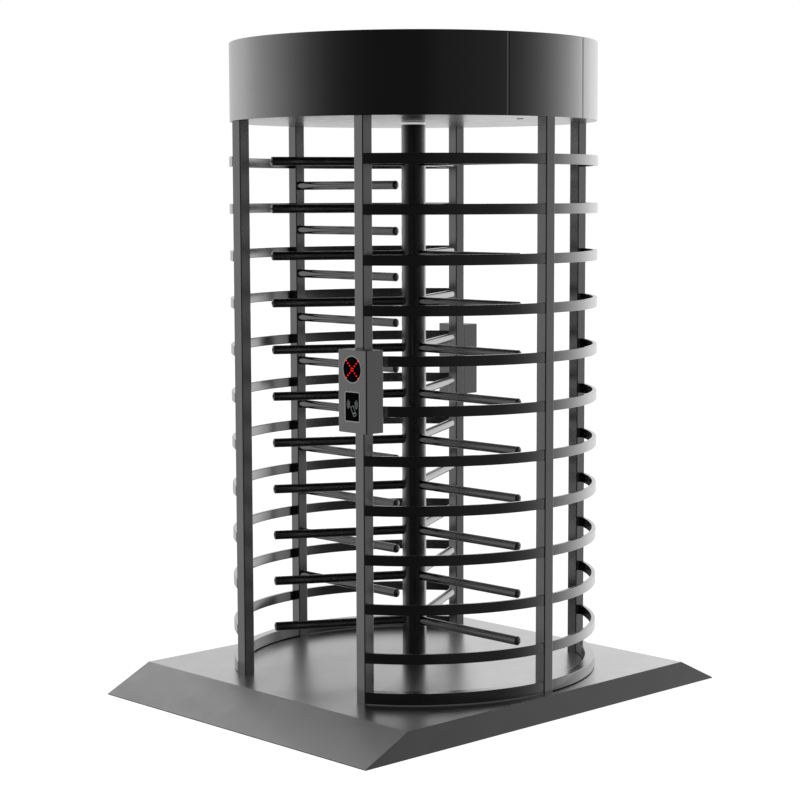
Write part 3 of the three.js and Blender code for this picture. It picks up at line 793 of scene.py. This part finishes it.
foot_bearing = finish_mesh(build("floor_bearing", foot_bearing_into, [zinc_steel]))
settle(foot_bearing, "frame", "zinc_steel", "foot_bearing")

# ---------------------------------------------------------------- canopy
CANOPY_SIDES = 288
BARREL_R = 4
barrel_turn = math.radians(DOOR_START) + (BARREL_R + DOOR_SEAM) / CANOPY_RADIUS
BARREL_X, BARREL_Y = ((CANOPY_RADIUS - BARREL_R) * f(barrel_turn) for f in (math.cos, math.sin))
DOORWAY_DEPTH = 23
# How the skin falls back beside the door, as (run, depth) at the door's two edges
START_FALL, END_FALL = (4.5, 1.3), (15, 2.3)
# How the door's own end edge falls back. Its start edge is kept out by the hinge barrel
DOOR_FALL = (4, 0.6)
LOCK_BARREL, LOCK_FLANGE, LOCK_FLANGE_THICK = 9.5, 12.5, 2
TONGUE_LENGTH, TONGUE_HALF, TONGUE_THICK, TONGUE_GAP = 34, 7, 3, 1.5


def shell_into(bm):
    inner, roof = CANOPY_RADIUS - CANOPY_SHEET, CANOPY_TOP - CANOPY_SHEET
    inner_fold, outer_fold, outer_lip, inner_lip, fold_steps = 1.5, 2.5, 0.6, 0.4, 4
    skin = [
        (0, roof),
        (inner - inner_fold, roof),
        (inner, roof - inner_fold),
        (inner, CANOPY_BOTTOM + inner_lip),
        (inner + inner_lip, CANOPY_BOTTOM),
        (CANOPY_RADIUS - outer_lip, CANOPY_BOTTOM),
        (CANOPY_RADIUS, CANOPY_BOTTOM + outer_lip),
    ]
    for i in range(fold_steps + 1):
        turn = math.pi / 2 * i / fold_steps
        radius = CANOPY_RADIUS - outer_fold + outer_fold * math.cos(turn)
        skin.append((radius, CANOPY_TOP - outer_fold + outer_fold * math.sin(turn)))
    skin.append((0, CANOPY_TOP))
    lathe_into(bm, skin, CANOPY_SIDES)


def degrees_of(run):
    """The turn about the canopy's middle that covers a length of its skin."""
    return math.degrees(run / CANOPY_RADIUS)


def doorway_into(bm):
    """The doorway, whose edges fall back a little from the skin."""
    start = DOOR_START - degrees_of(START_FALL[0])
    end = DOOR_END + degrees_of(END_FALL[0])
    clear = 20
    outline = arc_points(CANOPY_RADIUS + clear, start, end, 26)
    outline.append(arc_point(CANOPY_RADIUS, end))
    outline.append(arc_point(CANOPY_RADIUS - END_FALL[1], DOOR_END))
    outline += arc_points(CANOPY_RADIUS - DOORWAY_DEPTH, DOOR_END, DOOR_START, 24)
    outline.append(arc_point(CANOPY_RADIUS - START_FALL[1], DOOR_START))
    outline.append(arc_point(CANOPY_RADIUS, start))
    prism_into(bm, outline, CANOPY_BOTTOM - clear, CANOPY_TOP - CANOPY_SHEET)


shell = build("canopy_skin", shell_into, [canopy_coat])
cut_with(shell, doorway_into)
finish_mesh(shell)
settle(shell, "frame", "canopy_coat", "canopy_shell")


def door_into(bm):
    run, depth = DOOR_FALL
    start, end = math.degrees(barrel_turn), DOOR_END - degrees_of(DOOR_SEAM)
    outline = arc_points(CANOPY_RADIUS, start, end - degrees_of(run), 42)
    outline.append(arc_point(CANOPY_RADIUS - depth, end))
    outline += arc_points(CANOPY_RADIUS - CANOPY_SHEET, end, start, 42)
    prism_into(bm, outline, CANOPY_BOTTOM, DOOR_TOP)


def door_fittings_into(bm):
    """The hinge barrel with its pin, and the catch bar with the tab that the tongue holds."""
    hinge = Matrix.Translation((BARREL_X, BARREL_Y, 0))
    edge, pin, pin_edge, pin_top = 0.5, 2.5, 0.3, DOOR_TOP + 2.4
    profile = [
        (0, CANOPY_BOTTOM),
        (BARREL_R - edge, CANOPY_BOTTOM),
        (BARREL_R, CANOPY_BOTTOM + edge),
        (BARREL_R, DOOR_TOP - edge),
        (BARREL_R - edge, DOOR_TOP),
        (pin, DOOR_TOP),
        (pin, pin_top - pin_edge),
        (pin - pin_edge, pin_top),
        (0, pin_top),
    ]
    lathe_into(bm, profile, 24, place=hinge)
    play, thick, half_bar, foot_height, foot_length = 0.5, 4, 12, 16, 20
    bar_low = LOCK_TOP + play
    tab = LOCK_X - math.hypot(TONGUE_LENGTH, TONGUE_HALF) - TONGUE_GAP
    foot = CANOPY_RADIUS - CANOPY_SHEET - foot_length
    outline = [
        (tab - thick, DECK_TOP + play),
        (tab, DECK_TOP + play),
        (tab, bar_low),
        (CANOPY_RADIUS, bar_low),
        (CANOPY_RADIUS, bar_low + foot_height),
        (foot, bar_low + foot_height),
        (foot, bar_low + thick),
        (tab - thick, bar_low + thick),
    ]
    outline = rounded(outline, [0.6, 0.6, 1, 0.6, 0.6, 0.6, 2, 0.8], 2)
    prism_into(bm, outline, -LOCK_Y - half_bar, -LOCK_Y + half_bar, ALONG_MINUS_Y)


def skin_band_into(bm):
    """The door's skin and all beyond it, to cut the catch bar's foot to the skin's inside."""
    inner, beyond, end, steps = CANOPY_RADIUS - CANOPY_SHEET + 0.1, 60, 12, 16
    band = band_outline(inner, CANOPY_RADIUS + beyond, 0, end, steps)
    prism_into(bm, band, LOCK_TOP, LOCK_TOP + beyond)


door = build("canopy_door", door_into, [canopy_coat])
finish_mesh(door, 0.4)
settle(door, "service_door", "canopy_coat", "service_door")
door_fittings = build("door_fittings", door_fittings_into, [canopy_coat])
cut_with(door_fittings, skin_band_into)
finish_mesh(door_fittings)
settle(door_fittings, "service_door", "canopy_coat")


def lock_into(bm):
    top = CANOPY_BOTTOM - GAP
    bottom = top - LOCK_FLANGE_THICK
    bevel, edge, barrel_edge = 0.9, 0.3, 0.5
    profile = [
        (0, bottom),
        (LOCK_FLANGE - bevel, bottom),
        (LOCK_FLANGE, bottom + bevel),
        (LOCK_FLANGE, top - edge),
        (LOCK_FLANGE - edge, top),
        (LOCK_BARREL, top),
        (LOCK_BARREL, LOCK_TOP - barrel_edge),
        (LOCK_BARREL - barrel_edge, LOCK_TOP),
        (0, LOCK_TOP),
    ]
    lathe_into(bm, profile, 48, place=Matrix.Translation((LOCK_X, LOCK_Y, 0)))


def key_slot_into(bm):
    half_length, half_width, depth = 4.5, 1, 5
    face = CANOPY_BOTTOM - GAP - LOCK_FLANGE_THICK
    low = (LOCK_X - half_length, LOCK_Y - half_width, face - depth)
    block_into(bm, low, (LOCK_X + half_length, LOCK_Y + half_width, face + depth))


def tongue_into(bm):
    place = Matrix.Translation((LOCK_X, LOCK_Y, 0))
    half, near, sunk = TONGUE_HALF, -2, 0.02
    corners = [(-half, -TONGUE_LENGTH), (half, -TONGUE_LENGTH), (half, near), (-half, near)]
    outline = rounded(corners, [3, 3, 0.5, 0.5], 4)
    prism_into(bm, outline, LOCK_TOP - TONGUE_THICK, LOCK_TOP - sunk, place)


lock = build("cam_lock", lock_into, [lock_steel])
cut_with(lock, key_slot_into)
finish_mesh(lock)
settle(lock, "door_lock", "bright_steel", "door_lock")
tongue = finish_mesh(build("cam_tongue", tongue_into, [zinc_steel]), 0.5)
settle(tongue, "door_lock", "bright_steel")


# ---------------------------------------------------------------- readers
CASE_FRONT = -READER_HALF_Y
PANE_FRONT = CASE_FRONT + 0.2
# The materials of a reader's module
GLASS, RIM, LAMP, ICON = range(4)


def casing_into(bm):
    outline = box_outline(READER_HALF_X, READER_HALF_Y, 4.2, 5)
    bevel, shoulder = 2, 0.6
    levels = [
        (bevel, READER_BOTTOM),
        (shoulder, READER_BOTTOM + shoulder),
        (0, READER_BOTTOM + bevel),
        (0, READER_TOP - bevel),
        (shoulder, READER_TOP - shoulder),
        (bevel, READER_TOP),
    ]
    rings = []
    for inset, z in levels:
        grow_x = (READER_HALF_X - inset) / READER_HALF_X
        grow_y = (READER_HALF_Y - inset) / READER_HALF_Y
        rings.append(add_ring(bm, [(x * grow_x, y * grow_y, z) for x, y in outline]))
    for one, two in zip(rings, rings[1:]):
        bridge(bm, one, two)
    cap(bm, rings[0][::-1])
    cap(bm, rings[-1])


def circle_points(radius, z):
    sides = 64
    turns = [2 * math.pi * i / sides for i in range(sides)]
    return [(radius * math.cos(t), z + radius * math.sin(t)) for t in turns]


def card_points(grow, corner):
    card = box_outline(CARD_HALF_X + grow, CARD_HALF_Z + grow, corner, 10)
    return [(x, CARD_Z + z) for x, z in card]


def window_shapes(bm, front, back, grow):
    """The round display and the card panel, both facing -Y."""
    circle = circle_points(DISPLAY_RADIUS + grow, DISPLAY_Z)
    for outline in (circle, card_points(grow, CARD_CORNER)):
        prism_into(bm, outline, -back, -front, ALONG_MINUS_Y)


def pocket_into(bm):
    half_x, half_y = READER_HALF_X - READER_WALL, READER_HALF_Y - READER_WALL
    low = (-half_x, -half_y, READER_BOTTOM + READER_WALL)
    block_into(bm, low, (half_x, half_y, READER_TOP - READER_WALL))


def window_holes_into(bm):
    clear, depth, play = 20, 5, 0.4
    window_shapes(bm, CASE_FRONT - clear, CASE_FRONT + depth, play)


casing = build("reader_case_entry", casing_into, [case_coat])
cut_with(casing, pocket_into)
cut_with(casing, window_holes_into)
finish_mesh(casing)
casing.location = Vector((*READER_PLACE, 0)) * MM
settle(casing, "frame", "case_plastic", "reader_casing_entry")
other = copy_of(casing, "reader_case_exit", (-READER_PLACE[0], -READER_PLACE[1], 0), math.pi)
settle(other, "frame", "case_plastic", "reader_casing_exit")


def aside(before, after, distance):
    """A step of that length, square to the left of the way from before to after."""
    run = Vector((after[0] - before[0], after[1] - before[1])).normalized()
    return Vector((-run.y, run.x)) * distance


def strip_into(bm, points, half, front, back, material):
    """A thin raised line along points in X and Z."""
    left, right = [], []
    for i, point in enumerate(points):
        off = aside(points[max(0, i - 1)], points[min(len(points) - 1, i + 1)], half)
        left.append((point[0] + off.x, point[1] + off.y))
        right.append((point[0] - off.x, point[1] - off.y))
    prism_into(bm, left + right[::-1], -back, -front, ALONG_MINUS_Y, material)


def loop_into(bm, points, half, front, back, material):
    """A thin raised closed line, as four rings of a rectangular section."""
    count = len(points)
    rings = []
    for side, depth in ((half, front), (-half, front), (-half, back), (half, back)):
        ring = []
        for i, point in enumerate(points):
            off = aside(points[i - 1], points[(i + 1) % count], side)
            ring.append(ALONG_MINUS_Y @ Vector((point[0] + off.x, point[1] + off.y, -depth)))
        rings.append(add_ring(bm, ring))
    for i in range(4):
        bridge(bm, rings[i], rings[(i + 1) % 4], material)


def board_into(bm):
    """The board and the two panes that reach through the casing's windows."""
    board_front = CASE_FRONT + READER_WALL + GAP
    margin, thick = 4 + READER_WALL, 2
    block_into(
        bm,
        (margin - READER_HALF_X, board_front, READER_BOTTOM + margin),
        (READER_HALF_X - margin, board_front + thick, READER_TOP - margin),
        material=GLASS,
    )
    window_shapes(bm, PANE_FRONT, board_front, 0)
    rim, proud = 1.9, 0.5
    circle = circle_points(DISPLAY_RADIUS + rim, DISPLAY_Z)
    for outline in (circle, card_points(rim, CARD_CORNER + rim)):
        loop_into(bm, outline, rim, CASE_FRONT - proud, PANE_FRONT, RIM)


def lamps_into(bm):
    """The lamps of the round display, which stand in a cross."""
    count, pitch = 8, 8.6
    middle = (count - 1) / 2
    lens = [(2.3, -0.1), (2.3, 0.25), (1.6, 0.5), (0, 0.6)]
    falling = {(i, count - 1 - i) for i in range(count)}
    for i, j in sorted({(i, i) for i in range(count)} | falling):
        x, z = (i - middle) * pitch, DISPLAY_Z + (j - middle) * pitch
        place = Matrix.Translation((x, PANE_FRONT, z)) @ Matrix.Rotation(math.pi / 2, 4, "X")
        lathe_into(bm, lens, 20, material=LAMP, place=place)


def icon_into(bm):
    """A plain sign for a card held to the panel: a tilted card between two sets of arcs."""
    front, back = PANE_FRONT - 0.15, PANE_FRONT + 0.05
    spread, arc_level, half_steps = 0.66, CARD_Z + 8, 6
    turns = [spread * (k / half_steps - 1) for k in range(2 * half_steps + 1)]
    for sign in (-1, 1):
        for radius in (15, 20.5, 26):
            arc = [(sign * radius * math.cos(t), arc_level + radius * math.sin(t)) for t in turns]
            strip_into(bm, arc, 1.2, front, back, ICON)
    tilt = Matrix.Rotation(math.radians(27), 2)
    centre = Vector((6, CARD_Z - 15))
    outline = [tuple(centre + tilt @ Vector(p)) for p in box_outline(7, 18, 2.4, 5)]
    loop_into(bm, outline, 1.1, front, back, ICON)
    stripe = [tuple(centre + tilt @ Vector(p)) for p in ((-5.5, -8), (5.5, -8))]
    strip_into(bm, stripe, 2.2, front, back, ICON)


def module_into(bm):
    board_into(bm)
    lamps_into(bm)
    icon_into(bm)


module = build("reader_windows_entry", module_into, [black_glass, rim_paint, red_lamp, icon_print_painted_glow])
finish_mesh(module)
module.location = Vector((*READER_PLACE, 0)) * MM
settle(module, "frame", "reader_glass", "reader_module_entry")
other = copy_of(module, "reader_windows_exit", (-READER_PLACE[0], -READER_PLACE[1], 0), math.pi)
settle(other, "frame", "reader_glass", "reader_module_exit")

# ---------------------------------------------------------------- nodes that keep their own shape
for name, look in (
    ("canopy_deck", deck_coat),
    ("index_wheel", zinc_steel),
    ("damper_body", zinc_steel),
    ("damper_pinion", bright_steel),
    ("lock_unit", zinc_steel),
    ("lock_bolt_entry", bright_steel),
    ("lock_bolt_exit", bright_steel),
    ("control_box", case_coat),
):
    node = nodes[name]
    for i in range(len(node.material_slots)):
        node.material_slots[i].material = look


# ---------------------------------------------------------------- studio
# Brightness of the world from behind the object (0) round to behind the camera (1), on the
# picture's left and right, and its falloff from the horizon (0) to straight up or down (1)
LEFT_STOPS = [
    (0, 0.85), (0.02, 0.8), (0.1, 1.05), (0.18, 1.12), (0.305, 0.83), (0.474, 0.52), (0.608, 0.29),
    (0.7, 0.16), (0.808, 0.07), (0.889, 0.038), (0.97, 0.024), (1, 0.024),
]
RIGHT_STOPS = [
    (0, 0.95), (0.03, 1.25), (0.1, 1.6), (0.197, 1.36), (0.313, 0.9), (0.423, 0.55), (0.524, 0.31),
    (0.613, 0.185), (0.692, 0.115), (0.79, 0.066), (0.874, 0.056), (0.98, 0.042), (1, 0.024),
]
BAND_STOPS = [(0, 1), (0.26, 0.9), (0.5, 0.66), (0.69, 0.4), (0.84, 0.12), (1, 0.05)]


def make_world():
    """White behind the object and dark behind the camera, as a function of the world direction."""
    world = bpy.data.worlds.new("studio")
    bpy.context.scene.world = world
    world.use_nodes = True
    tree = world.node_tree
    tree.nodes.clear()
    new, link = tree.nodes.new, tree.links.new
    coords = new("ShaderNodeTexCoord")
    flat = new("ShaderNodeVectorMath")
    flat.operation = "MULTIPLY"
    flat.inputs[1].default_value = (1, 1, 0)
    link(coords.outputs["Generated"], flat.inputs[0])
    unit = new("ShaderNodeVectorMath")
    unit.operation = "NORMALIZE"
    link(flat.outputs[0], unit.inputs[0])

    def along(direction, low, high):
        dot = new("ShaderNodeVectorMath")
        dot.operation = "DOT_PRODUCT"
        dot.inputs[1].default_value = direction
        link(unit.outputs[0], dot.inputs[0])
        span = new("ShaderNodeMapRange")
        span.inputs["From Min"].default_value = low
        span.inputs["From Max"].default_value = high
        link(dot.outputs["Value"], span.inputs["Value"])
        return span.outputs["Result"]

    def blend(factor, one, two):
        node = new("ShaderNodeMix")
        node.data_type = "RGBA"
        link(factor, node.inputs["Factor"])
        for socket, value in ((node.inputs[6], one), (node.inputs[7], two)):
            if isinstance(value, tuple):
                socket.default_value = value
            else:
                link(value, socket)
        return node.outputs[2]

    def ramp(stops, factor):
        node = new("ShaderNodeValToRGB")
        elements = node.color_ramp.elements
        elements[0].position, elements[1].position = stops[0][0], stops[-1][0]
        for position, value in stops[1:-1]:
            elements.new(position)
        for element, (position, value) in zip(elements, stops):
            element.color = (value, value, value, 1)
        link(factor, node.inputs["Fac"])
        return node.outputs["Color"]

    seam = 0.12
    towards = along((math.sin(AZIMUTH), -math.cos(AZIMUTH), 0), -1, 1)
    side = along((math.cos(AZIMUTH), math.sin(AZIMUTH), 0), -seam, seam)
    around = blend(side, ramp(LEFT_STOPS, towards), ramp(RIGHT_STOPS, towards))
    split = new("ShaderNodeSeparateXYZ")
    link(coords.outputs["Generated"], split.inputs[0])
    steepness = new("ShaderNodeMath")
    steepness.operation = "ABSOLUTE"
    link(split.outputs["Z"], steepness.inputs[0])
    band = new("ShaderNodeVectorMath")
    band.operation = "MULTIPLY"
    link(around, band.inputs[0])
    link(ramp(BAND_STOPS, steepness.outputs[0]), band.inputs[1])
    light = new("ShaderNodeBackground")
    link(band.outputs[0], light.inputs["Color"])
    white = new("ShaderNodeBackground")
    white.inputs["Color"].default_value = (1, 1, 1, 1)
    path = new("ShaderNodeLightPath")
    choose = new("ShaderNodeMixShader")
    link(path.outputs["Is Camera Ray"], choose.inputs[0])
    link(light.outputs[0], choose.inputs[1])
    link(white.outputs[0], choose.inputs[2])
    out = new("ShaderNodeOutputWorld")
    link(choose.outputs[0], out.inputs["Surface"])


def make_floor():
    """A wide floor, near white to the camera, matt to scattered light, clear to mirror rays."""
    half_size, drop, share_of_white, white, grey = 60, 0.0008, 0.97, 1.1, 0.72
    bm = bmesh.new()
    bmesh.ops.create_grid(bm, x_segments=1, y_segments=1, size=half_size)
    mesh = bpy.data.meshes.new("floor")
    bm.to_mesh(mesh)
    bm.free()
    floor = bpy.data.objects.new("floor", mesh)
    bpy.context.scene.collection.objects.link(floor)
    floor.location.z = -drop
    material = bpy.data.materials.new("floor_look")
    material.use_nodes = True
    tree = material.node_tree
    tree.nodes.clear()
    new, link = tree.nodes.new, tree.links.new
    matt = new("ShaderNodeBsdfDiffuse")
    matt.inputs["Color"].default_value = (grey, grey, grey, 1)
    glow = new("ShaderNodeEmission")
    glow.inputs["Strength"].default_value = white
    path = new("ShaderNodeLightPath")
    share = new("ShaderNodeMath")
    share.operation = "MULTIPLY"
    share.inputs[1].default_value = share_of_white
    link(path.outputs["Is Camera Ray"], share.inputs[0])
    mix = new("ShaderNodeMixShader")
    link(share.outputs[0], mix.inputs[0])
    link(matt.outputs[0], mix.inputs[1])
    link(glow.outputs[0], mix.inputs[2])
    clear = new("ShaderNodeBsdfTransparent")
    passing = new("ShaderNodeMixShader")
    link(path.outputs["Is Glossy Ray"], passing.inputs[0])
    link(mix.outputs[0], passing.inputs[1])
    link(clear.outputs[0], passing.inputs[2])
    out = new("ShaderNodeOutputMaterial")
    link(passing.outputs[0], out.inputs["Surface"])
    mesh.materials.append(material)


make_world()
make_floor()
bpy.context.scene.view_settings.view_transform = "Standard"
